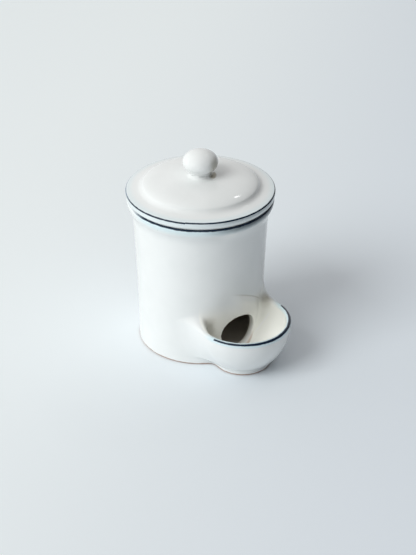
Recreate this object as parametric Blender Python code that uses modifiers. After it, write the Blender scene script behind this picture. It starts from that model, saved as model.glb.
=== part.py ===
"""Salt cellar of thrown, glazed earthenware with a feed cup low on its front.

The jar holds the salt under a lift-off lid with a ball knob. The salt runs through an
oval hole in the jar's wall into the cup, where it is pinched out. The cup was thrown
apart, cut to the jar's wall and luted on, so its lip sweeps up the wall in two ears.

Lengths are in metres and +Z is up. The origin is where the jar's axis meets the surface
that it stands on, and the cup faces -Y.
"""

import math

import bmesh
import bpy
from mathutils import Vector

# Clearances
SEAT_GAP = 0.0003
CUT_OVERRUN = 0.010

# Jar: a cylinder that flares a little towards the rolled band at its mouth
JAR_HEIGHT = 0.118
JAR_FOOT_RADIUS = 0.0473
JAR_NECK_RADIUS = 0.0504
JAR_WALL = 0.005
JAR_FLOOR = 0.006
JAR_FLOOR_FILLET = 0.006
JAR_FOOT_CHAMFER = 0.0009
BAND_RADIUS = 0.0543
BAND_HEIGHT = 0.0092
BAND_FACE_SHARE = 0.55
BAND_LIP = 0.0014
BAND_TUCK = 0.0040
MOUTH_EDGE = 0.0012

# Lid: a flat flange, a raised dome and a collar that drops into the jar's mouth
LID_OVERHANG = 0.0007
LID_EDGE = 0.0061
LID_EDGE_ROUND = 0.0012
LID_EDGE_UNDERCUT = 0.0019
LID_FACE_LEAN = 0.00024
LID_FACE_SHARE = 0.3
FLANGE_WIDTH = 0.0132
FLANGE_RISE = 0.0018
DOME_RISE = 0.0086
DOME_COVE = 0.0020
LID_WALL = 0.005
CEILING_DROP = 0.0040
COLLAR_PLAY = 0.0011
COLLAR_WALL = 0.004
COLLAR_DEPTH = 0.0083
COLLAR_EDGE = 0.0012
COLLAR_FILLET = 0.0035

# Knob: a pressed ball on a short flared neck
KNOB_RADIUS = 0.0130
KNOB_HALF_HEIGHT = 0.0088
KNOB_MIDDLE = 0.0107
KNOB_NECK_RADIUS = 0.0080
KNOB_NECK_ROUND = 0.0040
KNOB_NECK_FLOW = 0.0026
KNOB_FOOT_RADIUS = 0.0112
KNOB_FOOT_EDGE = 0.0005

# Cup: a small round bowl on a low foot
CUP_OUTSET = 0.0036
CUP_RADIUS = 0.0357
CUP_HEIGHT = 0.0366
CUP_WALL = 0.0034
CUP_FLOOR = 0.0062
CUP_BELLY_DROP = 0.0020
CUP_FOOT_RADIUS = 0.0216
CUP_FOOT_HEIGHT = 0.0036
CUP_FOOT_KICK = 0.0004

# Luting: how far the clay at the joint spreads up the jar's wall, out along it and into the bowl
EAR_SPREAD = 0.0115
EAR_THICKNESS = 0.0034
EAR_LENGTH = 0.0210
LUTE_OUTSIDE = 0.0150
LUTE_INSIDE = 0.0080
LUTE_EDGE = 0.0004
LUTE_FOOT_SHARE = 0.15
EAR_START_SHARE = 0.45

# Feed hole: an oval cut through the jar's wall inside the cup
HOLE_SILL = 0.0035
HOLE_HALF_WIDTH = 0.0150
HOLE_HALF_HEIGHT = 0.0136

# Fineness of the facets
JAR_STEPS = 80
WALL_STEPS = 4
LID_STEPS = 64
DOME_STEPS = 9
CEILING_STEPS = 4
KNOB_STEPS = 44
BALL_STEPS = 12
CUP_FRONT_STEPS = 30
CUP_JOINT_STEPS = 20
CUP_BACK_STEPS = 10
BOWL_STEPS = 9
BELLY_STEPS = 7
LIP_STEPS = 6
HOLE_STEPS = 40
CORNER_STEP = math.radians(32)
SHARP_ANGLE = math.radians(35)
MERGE_DISTANCE = 0.00001

# Glaze colours: base colour, roughness
GLAZE_WARM = ((0.83, 0.85, 0.82), 0.12)
GLAZE_COOL = ((0.80, 0.84, 0.83), 0.12)
GLAZE_LID = ((0.84, 0.86, 0.84), 0.10)
GLAZE_KNOB = ((0.85, 0.87, 0.85), 0.10)

# How full the dome's shoulder is; an oval has 2
DOME_FULLNESS = 2.4

# How far round from its top the knob's ball goes before it turns into the neck
BALL_END = math.radians(126)

# Sweep of the cup's plan, to either side of straight ahead, that is clear of the joint
CUP_FRONT_SWEEP = math.radians(76)
CUP_JOINT_SWEEP = math.radians(46)

# Sizes that follow from the driving ones
WALL_TOP = JAR_HEIGHT - BAND_HEIGHT
MOUTH_RADIUS = JAR_NECK_RADIUS - JAR_WALL
LID_RADIUS = BAND_RADIUS + LID_OVERHANG
LID_SEAT = JAR_HEIGHT + SEAT_GAP
COLLAR_RADIUS = MOUTH_RADIUS - COLLAR_PLAY
DOME_RADIUS = LID_RADIUS - FLANGE_WIDTH
DOME_BASE = LID_EDGE + FLANGE_RISE
DOME_TOP = DOME_BASE + DOME_RISE
CUP_AXIS = JAR_FOOT_RADIUS + CUP_OUTSET
HOLE_HEIGHT = JAR_FLOOR + HOLE_SILL + HOLE_HALF_HEIGHT


def clear_scene():
    """Remove every object that the scene starts with."""
    for obj in list(bpy.data.objects):
        bpy.data.objects.remove(obj, do_unlink=True)


def new_collection(name):
    """Add an empty collection to the scene."""
    collection = bpy.data.collections.new(name)
    bpy.context.scene.collection.children.link(collection)
    return collection


def glaze(name, look):
    """Make a glossy glaze from a base colour and a roughness."""
    colour, roughness = look
    material = bpy.data.materials.new(name)
    material.use_nodes = True
    shader = material.node_tree.nodes["Principled BSDF"]
    shader.inputs["Base Color"].default_value = (*colour, 1)
    shader.inputs["Roughness"].default_value = roughness
    shader.inputs["Metallic"].default_value = 0
    material.diffuse_color = (*colour, 1)
    return material


def fillet_reaches(corners):
    """How far each corner's fillet runs along its two sides, which neighbours share."""
    places = [Vector(corner[:2]) for corner in corners]
    sides = [after - before for before, after in zip(places, places[1:])]
    wanted = [0]
    for corner, before, after in zip(corners[1:], sides, sides[1:]):
        wanted.append(corner[2] * math.tan(before.angle(after) / 2))
    wanted.append(0)
    fits = [min(1, side.length / max(first + second, side.length))
            for side, first, second in zip(sides, wanted, wanted[1:])]
    return [reach * min(before, after) for reach, before, after in zip(wanted[1:], fits, fits[1:])]


def rounded(corners):
    """Give an outline of (radius, height, fillet) corners its fillets as short arcs."""
    points = [Vector(corners[0][:2])]
    for before, corner, after, reach in zip(corners, corners[1:], corners[2:], fillet_reaches(corners)):
        middle = Vector(corner[:2])
        back = (Vector(before[:2]) - middle).normalized()
        ahead = (Vector(after[:2]) - middle).normalized()
        turn = math.pi - back.angle(ahead)
        if reach == 0:
            points.append(middle)
            continue
        centre = middle + (back + ahead).normalized() * reach / math.sin(turn / 2)
        side = 1 if back.x * ahead.y < back.y * ahead.x else -1
        steps = max(2, math.ceil(turn / CORNER_STEP))
        spoke = middle + back * reach - centre
        for step in range(steps + 1):
            angle = side * turn * step / steps
            points.append(centre + Vector((spoke.x * math.cos(angle) - spoke.y * math.sin(angle),
                                           spoke.x * math.sin(angle) + spoke.y * math.cos(angle))))
    points.append(Vector(corners[-1][:2]))
    return points


def oval_arc(height, half_width, half_height, start, end, steps):
    """Points on an oval about the axis; angles run from straight up, outward and down."""
    points = []
    for step in range(steps + 1):
        angle = start + (end - start) * step / steps
        points.append(Vector((half_width * math.sin(angle), height + half_height * math.cos(angle))))
    return points


def crown_arc(height, radius, rise, steps):
    """Points down a shallow round crown, from the axis out to its rim."""
    sphere = (radius * radius + rise * rise) / (2 * rise)
    points = []
    for step in range(steps + 1):
        along = radius * step / steps
        drop = sphere - math.sqrt(sphere * sphere - along * along)
        points.append(Vector((along, height - drop)))
    return points


def settle(obj):
    """Turn an object's modifiers into its mesh, smooth between its sharp edges."""
    bpy.context.view_layer.update()
    depsgraph = bpy.context.evaluated_depsgraph_get()
    mesh = bpy.data.meshes.new_from_object(obj.evaluated_get(depsgraph))
    obj.modifiers.clear()
    obj.data = mesh
    mesh.name = obj.name
    mesh.shade_smooth()
    mesh.set_sharp_from_angle(angle=SHARP_ANGLE)


def turned(name, outline, steps, collection, material):
    """Turn a closed piece about its own Z axis from an outline that runs top to bottom."""
    mesh = bpy.data.meshes.new(name)
    edges = [(index, index + 1) for index in range(len(outline) - 1)]
    mesh.from_pydata([(point.x, 0, point.y) for point in outline], edges, [])
    obj = bpy.data.objects.new(name, mesh)
    collection.objects.link(obj)
    if material:
        mesh.materials.append(material)
    screw = obj.modifiers.new("turn", "SCREW")
    screw.steps = steps
    screw.render_steps = steps
    screw.use_merge_vertices = True
    screw.merge_threshold = MERGE_DISTANCE
    settle(obj)
    return obj


def cut(obj, cutter):
    """Cut one solid away from another and keep the result as its mesh."""
    boolean = obj.modifiers.new("cut", "BOOLEAN")
    boolean.operation = "DIFFERENCE"
    boolean.solver = "EXACT"
    boolean.object = cutter
    settle(obj)


def hide_cutter(cutter):
    """Show a cutter as wires only."""
    cutter.hide_render = True
    cutter.display_type = "WIRE"


def jar_radius(height):
    """Outer radius of the jar's wall at a height; it flares towards the band."""
    share = max(0, height) / WALL_TOP
    return JAR_FOOT_RADIUS + (JAR_NECK_RADIUS - JAR_FOOT_RADIUS) * share * share


def wall_corners(bottom, top, inset):
    """Corners up the jar's wall between two heights, set in from its outside."""
    corners = []
    for step in range(WALL_STEPS + 1):
        height = bottom + (top - bottom) * step / WALL_STEPS
        corners.append((jar_radius(height) - inset, height, 0))
    return corners


def jar_outline():
    """Section of the jar: up the inside, over the rolled band and down the outside."""
    inside = wall_corners(JAR_FLOOR, WALL_TOP, JAR_WALL)
    outside = wall_corners(JAR_FOOT_CHAMFER, WALL_TOP, 0)
    neck = outside.pop()
    return rounded([
        (0, JAR_FLOOR, 0),
        (inside[0][0], JAR_FLOOR, JAR_FLOOR_FILLET),
        *inside[1:],
        (MOUTH_RADIUS, JAR_HEIGHT, MOUTH_EDGE),
        (BAND_RADIUS, JAR_HEIGHT, BAND_LIP),
        (BAND_RADIUS, JAR_HEIGHT - BAND_HEIGHT * BAND_FACE_SHARE, BAND_LIP),
        (neck[0], neck[1], BAND_TUCK),
        *reversed(outside),
        (JAR_FOOT_RADIUS - JAR_FOOT_CHAMFER, 0, 0),
        (0, 0, 0),
    ])


def hole_cutter(collection):
    """Oval bar that cuts the feed hole, level and square to the jar's wall."""
    inner_end = jar_radius(0) - JAR_WALL - CUT_OVERRUN
    outer_end = jar_radius(0) + CUT_OVERRUN
    bpy.ops.mesh.primitive_cylinder_add(vertices=HOLE_STEPS, radius=HOLE_HALF_WIDTH,
                                        depth=outer_end - inner_end, rotation=(math.pi / 2, 0, 0))
    bar = bpy.context.object
    bar.name = "feed_hole_cutter"
    bar.scale = (1, HOLE_HALF_HEIGHT / HOLE_HALF_WIDTH, 1)
    bar.location = (0, -(inner_end + outer_end) / 2, HOLE_HEIGHT)
    for owner in list(bar.users_collection):
        owner.objects.unlink(bar)
    collection.objects.link(bar)
    hide_cutter(bar)
    return bar


def wall_cutter(collection):
    """The jar's outside grown by the seat gap, which trims the cup to fit it."""
    wall = wall_corners(JAR_FOOT_CHAMFER, WALL_TOP, -SEAT_GAP)
    foot = (wall[0][0], -CUT_OVERRUN, 0)
    outline = rounded([(0, WALL_TOP, 0), *reversed(wall), foot, (0, -CUT_OVERRUN, 0)])
    trimmer = turned("jar_wall_cutter", outline, JAR_STEPS, collection, None)
    hide_cutter(trimmer)
    return trimmer


def make_jar(parts, cutters):
    """The thrown jar with its feed hole."""
    jar = turned("jar", jar_outline(), JAR_STEPS, parts, glaze("jar_glaze", GLAZE_COOL))
    cut(jar, hole_cutter(cutters))
    return jar


def cup_outline():
    """Section of the bowl: up its round inside, over the lip and down to its foot."""
    belly = CUP_HEIGHT - CUP_BELLY_DROP
    inner_radius = CUP_RADIUS - CUP_WALL
    inside = oval_arc(belly, inner_radius, belly - CUP_FLOOR, math.pi, math.pi / 2, BOWL_STEPS)
    foot_top = CUP_FOOT_RADIUS - CUP_FOOT_KICK
    foot_angle = math.pi - math.asin(foot_top / CUP_RADIUS)
    drop = (belly - CUP_FOOT_HEIGHT) / -math.cos(foot_angle)
    outside = oval_arc(belly, CUP_RADIUS, drop, math.pi / 2, foot_angle, BELLY_STEPS)
    lip = CUP_WALL / 2
    lip_middle = Vector((CUP_RADIUS - lip, CUP_HEIGHT - lip))
    over = []
    for step in range(LIP_STEPS + 1):
        angle = math.pi * (step / LIP_STEPS - 1 / 2)
        over.append(lip_middle + lip * Vector((math.sin(angle), math.cos(angle))))
    foot = [
        Vector((CUP_FOOT_RADIUS, CUP_FOOT_KICK)),
        Vector((CUP_FOOT_RADIUS - CUP_FOOT_KICK, 0)),
        Vector((0, 0)),
    ]
    return inside + over + outside + foot


def spun(name, outline, sweeps, collection, material):
    """Spin an outline about Z from straight behind, in (sweep, steps) stages that close a turn."""
    work = bmesh.new()
    points = [work.verts.new((0, point.x, point.y)) for point in outline]
    section = points + [work.edges.new(pair) for pair in zip(points, points[1:])]
    for sweep, steps in sweeps:
        section = bmesh.ops.spin(work, geom=section, axis=(0, 0, 1), cent=(0, 0, 0),
                                 angle=sweep, steps=steps)["geom_last"]
    bmesh.ops.remove_doubles(work, verts=work.verts, dist=MERGE_DISTANCE)
    bmesh.ops.recalc_face_normals(work, faces=work.faces)
    mesh = bpy.data.meshes.new(name)
    work.to_mesh(mesh)
    work.free()
    mesh.materials.append(material)
    obj = bpy.data.objects.new(name, mesh)
    collection.objects.link(obj)
    return obj


def fillet_swell(distance, size):
    """How far a soft fillet stands out at a distance from the wall that it runs into."""
    return (math.sqrt(size) - math.sqrt(min(distance + LUTE_EDGE, size))) ** 2


def lute(cup):
    """Swell the bowl towards the jar's wall, raising the ears and rounding both corners."""
    ear_start = CUP_HEIGHT * EAR_START_SHARE
    moved = []
    for vertex in cup.data.vertices:
        place = vertex.co.copy()
        normal = vertex.normal
        from_jar = math.hypot(place.x, place.y - CUP_AXIS)
        distance = max(0, from_jar - jar_radius(place.z) - SEAT_GAP)
        outside = normal.x * place.x + normal.y * place.y > 0
        height_share = min(1, place.z / ear_start)
        climb = min(1, max(0, (place.z - ear_start) / (CUP_HEIGHT - ear_start)))
        spread = fillet_swell(distance, LUTE_OUTSIDE if outside else LUTE_INSIDE)
        spread *= LUTE_FOOT_SHARE + (1 - LUTE_FOOT_SHARE) * height_share
        if not outside:
            spread += EAR_THICKNESS * max(0, 1 - distance / EAR_LENGTH) ** 2 * climb
        rise = max(0, normal.z) * climb * fillet_swell(distance, EAR_SPREAD)
        moved.append(place + Vector((normal.x * spread, normal.y * spread, rise)))
    for vertex, place in zip(cup.data.vertices, moved):
        vertex.co = place


def make_cup(parts, cutters):
    """The bowl, luted to the jar's wall and trimmed to it."""
    back_sweep = math.pi - CUP_FRONT_SWEEP - CUP_JOINT_SWEEP
    half = [(back_sweep, CUP_BACK_STEPS), (CUP_JOINT_SWEEP, CUP_JOINT_STEPS)]
    sweeps = [*half, (2 * CUP_FRONT_SWEEP, CUP_FRONT_STEPS), *reversed(half)]
    cup = spun("cup", cup_outline(), sweeps, parts, glaze("cup_glaze", GLAZE_WARM))
    lute(cup)
    cup.location = (0, -CUP_AXIS, 0)
    cut(cup, wall_cutter(cutters))
    return cup


def dome_point(turn):
    """A point on the dome's outside, from the top at no turn to its foot at a quarter turn."""
    radius = DOME_RADIUS * math.sin(turn) ** (2 / DOME_FULLNESS)
    rise = DOME_RISE * max(0, math.cos(turn)) ** (2 / DOME_FULLNESS)
    return Vector((radius, DOME_BASE + rise))


def knob_pad_turn():
    """Where the dome's outside meets the flat that the knob is luted to."""
    return math.asin((KNOB_FOOT_RADIUS / DOME_RADIUS) ** (DOME_FULLNESS / 2))


def lid_outline():
    """Section of the lid from the knob's pad, over the dome and flange, to its inside."""
    pad_turn = knob_pad_turn()
    sweep = math.pi / 2 - pad_turn
    dome = [dome_point(pad_turn + sweep * step / DOME_STEPS) for step in range(DOME_STEPS)]
    collar_inside = COLLAR_RADIUS - COLLAR_WALL
    ceiling = crown_arc(DOME_TOP - LID_WALL, collar_inside, CEILING_DROP, CEILING_STEPS)
    rim = rounded([
        (dome[-1].x, dome[-1].y, 0),
        (DOME_RADIUS, DOME_BASE, DOME_COVE),
        (LID_RADIUS, LID_EDGE, LID_EDGE_ROUND),
        (LID_RADIUS - LID_FACE_LEAN, LID_EDGE * LID_FACE_SHARE, LID_EDGE_UNDERCUT),
        (LID_RADIUS - LID_EDGE_UNDERCUT, 0, LID_EDGE_UNDERCUT),
        (COLLAR_RADIUS, 0, 0),
        (COLLAR_RADIUS, -COLLAR_DEPTH, COLLAR_EDGE),
        (collar_inside, -COLLAR_DEPTH, COLLAR_EDGE),
        (collar_inside, ceiling[-1].y, COLLAR_FILLET),
        (ceiling[-2].x, ceiling[-2].y, 0),
    ])
    return [Vector((0, dome[0].y))] + dome[:-1] + rim[:-1] + list(reversed(ceiling[:-1]))


def make_lid(parts):
    """The lift-off lid, its origin on the jar's axis at its seat."""
    lid = turned("lid", lid_outline(), LID_STEPS, parts, glaze("lid_glaze", GLAZE_LID))
    lid.location = (0, 0, LID_SEAT)
    return lid


def knob_outline():
    """Section of the knob from the top of its ball, down the neck to its foot."""
    ball = oval_arc(KNOB_MIDDLE, KNOB_RADIUS, KNOB_HALF_HEIGHT, 0, BALL_END, BALL_STEPS)
    steepness = KNOB_HALF_HEIGHT / KNOB_RADIUS * math.tan(BALL_END)
    neck_top = ball[-1].y + (ball[-1].x - KNOB_NECK_RADIUS) * steepness
    neck = rounded([
        (ball[-1].x, ball[-1].y, 0),
        (KNOB_NECK_RADIUS, neck_top, KNOB_NECK_ROUND),
        (KNOB_NECK_RADIUS, KNOB_NECK_FLOW, KNOB_NECK_FLOW),
        (KNOB_FOOT_RADIUS - KNOB_FOOT_EDGE, KNOB_FOOT_EDGE, 0),
        (KNOB_FOOT_RADIUS - KNOB_FOOT_EDGE, 0, 0),
        (0, 0, 0),
    ])
    return ball[:-1] + neck


def make_knob(parts, lid):
    """The ball knob on the lid's pad."""
    knob = turned("knob", knob_outline(), KNOB_STEPS, parts, glaze("knob_glaze", GLAZE_KNOB))
    knob.parent = lid
    knob.location = (0, 0, dome_point(knob_pad_turn()).y + SEAT_GAP)
    return knob


def main():
    """Build the whole salt cellar."""
    clear_scene()
    parts = new_collection("salt_cellar")
    cutters = new_collection("cutters")
    jar = make_jar(parts, cutters)
    cup = make_cup(parts, cutters)
    cup.parent = jar
    lid = make_lid(parts)
    make_knob(parts, lid)


main()
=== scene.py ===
"""Salt cellar in white tin glaze with blue brushed lines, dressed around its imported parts.

The jar and its cup are one clay body once they are luted and glazed, and so are the lid and
its knob. Each pair is made here as one unbroken skin, which stands for its two parts.
Lengths are in metres, +Z is up, and the cup faces -Y.
"""

import math

import bpy
import numpy as np
from bpy.props import FloatProperty, FloatVectorProperty, IntProperty, PointerProperty
from mathutils import Matrix, Vector


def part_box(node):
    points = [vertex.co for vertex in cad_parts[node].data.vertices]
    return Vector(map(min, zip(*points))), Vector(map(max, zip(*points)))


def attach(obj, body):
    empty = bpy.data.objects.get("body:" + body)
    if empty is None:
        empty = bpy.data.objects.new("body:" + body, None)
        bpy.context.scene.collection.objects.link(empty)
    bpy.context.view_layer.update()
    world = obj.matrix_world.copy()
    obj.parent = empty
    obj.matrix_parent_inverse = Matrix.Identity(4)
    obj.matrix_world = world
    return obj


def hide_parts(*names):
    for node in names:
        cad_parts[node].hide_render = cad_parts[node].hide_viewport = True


bl_info = {
    "name": "Salt cellar",
    "version": (1, 0, 0),
    "blender": (4, 5, 0),
    "location": "3D View > Sidebar > Salt cellar",
    "description": "Glazes the jar, its feed cup and its lid, and sets them on a pale stage",
    "category": "Add Mesh",
}

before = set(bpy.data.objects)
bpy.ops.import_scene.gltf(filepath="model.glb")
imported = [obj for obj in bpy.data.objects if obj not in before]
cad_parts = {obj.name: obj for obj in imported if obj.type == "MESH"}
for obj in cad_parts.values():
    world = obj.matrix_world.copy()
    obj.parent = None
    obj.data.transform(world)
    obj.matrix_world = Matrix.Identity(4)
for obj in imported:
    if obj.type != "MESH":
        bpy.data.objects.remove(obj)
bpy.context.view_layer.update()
jar_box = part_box("jar")


def length(name, description, default):
    """A length that the user can set."""
    return FloatProperty(name=name, description=description, default=default, min=0,
                         precision=5, unit="LENGTH", subtype="DISTANCE")


def share(name, description, default):
    """A share from 0 to 1 that the user can set."""
    return FloatProperty(name=name, description=description, default=default, min=0, max=1,
                         precision=3, subtype="FACTOR")


def turn(name, description, degrees):
    """An angle that the user can set, given here in degrees."""
    return FloatProperty(name=name, description=description, default=math.radians(degrees),
                         unit="ROTATION", subtype="ANGLE")


def tint(name, description, default):
    """A colour that the user can set."""
    return FloatVectorProperty(name=name, description=description, default=default, size=3,
                               min=0, max=1, precision=3, subtype="COLOR")


class JarSizes(bpy.types.PropertyGroup):
    """Sizes of the thrown jar"""

    height: length("Height", "From the foot to the mouth's edge", jar_box[1].z)
    foot_radius: length("Foot radius", "Outer radius of the wall at the foot", 0.0473)
    neck_radius: length("Neck radius", "Outer radius of the wall below the band", 0.0504)
    wall: length("Wall", "Thickness of the wall", 0.005)
    floor: length("Floor", "Thickness of the floor", 0.006)
    floor_round: length("Floor round", "How far the inner corner at the floor is rounded", 0.0070)
    foot_round: length("Foot round", "How far the outer corner at the foot is rounded", 0.0011)
    band_radius: length("Band radius", "Outer radius of the rolled band at the mouth", 0.0543)
    band_height: length("Band height", "From the mouth's edge to where the band meets the wall", 0.0092)
    band_face: share("Band face", "Share of the band's height that stands upright", 0.55)
    band_round: length("Band round", "How far the band's lower edge is rounded", 0.0026)
    band_flow: length("Band flow", "How far the band flows into the wall below it", 0.0040)
    lip_round: length("Lip round", "How far the mouth's outer edge is rounded", 0.0018)
    mouth_round: length("Mouth round", "How far the mouth's inner edge is rounded", 0.0015)


class CupSizes(bpy.types.PropertyGroup):
    """Sizes of the feed cup, its luting and the feed hole"""

    axis: length("Axis", "From the jar's axis to the cup's", 0.0509)
    radius: length("Radius", "Outer radius of the bowl", 0.0357)
    height: length("Height", "From the foot to the lip", 0.0366)
    wall: length("Wall", "Thickness of the bowl's wall", 0.0034)
    floor: length("Floor", "Thickness of the bowl's bottom", 0.0062)
    belly_drop: length("Belly drop", "From the lip down to the widest part of the bowl", 0.0020)
    foot_radius: length("Foot radius", "Outer radius of the low foot", 0.0216)
    foot_height: length("Foot height", "Height of the low foot", 0.0036)
    foot_flow: length("Foot flow", "How far the bowl flows into its foot", 0.0012)
    lip_round: length("Lip round", "Radius of the lip's two edges", 0.0016)
    lute_outside: length("Outer luting", "How far the clay is drawn out along the jar outside", 0.0150)
    lute_inside: length("Inner luting", "How far the clay is drawn out along the jar inside", 0.0080)
    ear_thickness: length("Ear thickness", "How much the lip thickens inwards where it meets the jar",
                          0.0034)
    ear_length: length("Ear length", "How far from the jar the lip starts to thicken", 0.0210)
    lute_foot: share("Luting at the foot", "Share of the luting that is left at the foot", 0.30)
    lute_rise: share("Luting rise", "Share of the cup's height at which the luting is whole", 0.20)
    ear_drop: share("Ear drop", "Share of the luting that is missing above the lip at the left ear",
                    0.38)
    hole_height: length("Hole height", "Height of the feed hole's middle", 0.0231)
    hole_half_width: length("Hole half width", "Half of the feed hole's width", 0.0150)
    hole_half_height: length("Hole half height", "Half of the feed hole's height", 0.0136)
    hole_round: length("Hole round", "How far the feed hole's edge is rounded", 0.0012)
    ledge_depth: length("Ledge depth",
                        "How far the luting stands out from the wall above the feed hole", 0.0013)
    ledge_run: length("Ledge run", "Over how much height the luting's edge swells to its depth", 0.0065)
    ledge_radius: length("Ledge radius", "Radius of the arc that the luting's upper edge follows",
                         0.0838)
    ledge_left: length("Ledge left", "How far left of the front the arc's middle lies round the wall",
                       0.0312)
    ledge_sunk: length("Ledge sunk", "How far below the foot the arc's middle lies", 0.0226)


class LidSizes(bpy.types.PropertyGroup):
    """Sizes of the lid and its knob, with heights from the lid's seat on the jar"""

    seat: length("Seat", "Height of the lid's seat", jar_box[1].z + 0.0003)
    radius: length("Radius", "Outer radius of the flange", 0.0550)
    edge: length("Edge", "Thickness of the flange at its edge", 0.0061)
    edge_round: length("Edge round", "Rounding of the flange's edge", 0.0012)
    edge_lean: length("Edge lean", "How far the flange's underside ends short of its edge", 0.0019)
    dome_radius: length("Dome radius", "Radius at which the dome meets the flange", 0.0438)
    dome_base: length("Dome base", "Height at which the dome meets the flange", 0.0079)
    dome_top: length("Dome top", "Height of the dome at the axis", 0.0165)
    dome_fullness: FloatProperty(name="Dome fullness", default=2.4, min=2, max=6,
                                 description="How full the dome's shoulder is; 2 is an oval")
    cove: length("Cove", "Rounding where the dome meets the flange", 0.0052)
    wall: length("Wall", "Thickness of the dome", 0.0050)
    collar_radius: length("Collar radius", "Outer radius of the collar", 0.0443)
    collar_wall: length("Collar wall", "Thickness of the collar", 0.0040)
    collar_depth: length("Collar depth", "How far the collar drops below the seat", 0.0083)
    collar_round: length("Collar round", "Rounding of the collar's edge", 0.0012)
    ceiling_round: length("Ceiling round", "Rounding where the collar meets the ceiling", 0.0035)
    ceiling_drop: length("Ceiling drop", "How much lower the ceiling is at the collar", 0.0040)
    knob_radius: length("Knob radius", "Radius of the ball", 0.0130)
    knob_half_height: length("Knob half height", "Half of the ball's height", 0.0088)
    knob_middle: length("Knob middle", "Height of the ball's middle above the dome", 0.0108)
    neck_radius: length("Neck radius", "Radius of the knob's neck", 0.0080)
    neck_round: length("Neck round", "Rounding between the ball and its neck", 0.0040)
    neck_flow: length("Neck flow", "How far the neck flows out over the dome", 0.0036)
    ball_end: turn("Ball end", "How far round from its top the ball goes before it turns into the neck",
                   126)
    # Where painted shade lies on the ball's shaded side.
    shade_spot_side: turn("Spot side", "Where thick glaze lies on the ball, round from the front", 22)
    shade_spot_height: turn("Spot height", "How high round the ball the thick glaze lies", -4)
    # Where glaze pooled and painted shade lies round the knob's neck.
    neck_pool_shade_side: turn("Pool side", "Where glaze pooled round the knob's neck, round from the front", 47)


class GlazeLook(bpy.types.PropertyGroup):
    """Colours of the glaze, the brushed lines and the clay"""

    cool: tint("Glaze outside", "White glaze on the jar and the lid", (0.88, 0.902, 0.90))
    # Warmer than the outside glaze, and lighter too as painted light in the bowl.
    warm_and_lightened: tint("Glaze in the cup", "Thicker, warmer glaze inside the cup", (0.99, 0.99, 0.94))
    # Darker and browner than the outside glaze.
    inside: tint("Glaze inside", "Thin glaze over the clay inside the jar", (0.62, 0.57, 0.49))
    line: tint("Line", "Cobalt of the brushed lines", (0.005, 0.017, 0.042))
    thin_line: tint("Thin line", "Cobalt of a line where the brush ran dry", (0.03, 0.09, 0.20))
    bleed: tint("Bleed", "Pale blue that the cobalt leaves in the glaze beside a line",
                (0.66, 0.84, 0.90))
    clay: tint("Clay", "Fired clay where the glaze was wiped off", (0.42, 0.27, 0.21))
    # Partly a cobalt smudge, partly painted shade below a line on its fullest side.
    smear_and_shade: tint("Smear", "Dark grey that the cobalt leaves below a line on its fullest side",
                (0.05, 0.06, 0.075))
    # Olive of glaze that pooled, also laid on as painted shade in the corners, along the luting's edge
    # and round the knob.
    pool: tint("Pool", "Olive glaze that pooled deep in the corners", (0.36, 0.33, 0.24))
    lid_line: length("Lid line", "Width of the line round the lid", 0.00125)
    # Wide enough that the line also stands for painted shade in the gap under the lid's edge.
    rim_line_and_gap_shade: length("Rim line", "Width of the line round the jar's lip", 0.0023)
    cup_line: length("Cup line", "Width of the line along the cup's lip", 0.0022)
    line_drift: length("Line drift", "How far a line misses its own start after one turn", 0.0004)
    roughness: share("Roughness", "Roughness of the glaze", 0.09)
    pool_across: length("Pool across", "From the middle between the two pools to each of them", 0.0280)
    pool_shift: length("Pool shift", "How far the middle between the pools lies to the right", 0.0025)
    pool_ahead: length("Pool ahead", "How far the pools lie in front of the jar's axis", 0.0418)
    pool_size: length("Pool size", "How far each pool reaches round its middle", 0.0080)
    # These place the painted highlight, a pale streak down the bowl's right inside.
    streak_angle: turn("Run angle", "Where the glaze run starts at the cup's bottom, round from its front",
                    118)
    streak_lean: FloatProperty(name="Run lean", default=12.4,
                            description="Radians that the run turns round the cup per metre of height")
    streak_width: length("Run width", "Half of the glaze run's width", 0.0006)
    speck_angle: turn("Speck angle",
                      "Where a drop of cobalt fell on the jar's band, round from the front", -72)
    speck_height: length("Speck height", "How high the drop of cobalt lies", 0.1134)
    speck_size: length("Speck size", "How far the drop of cobalt reaches", 0.0008)


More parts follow.
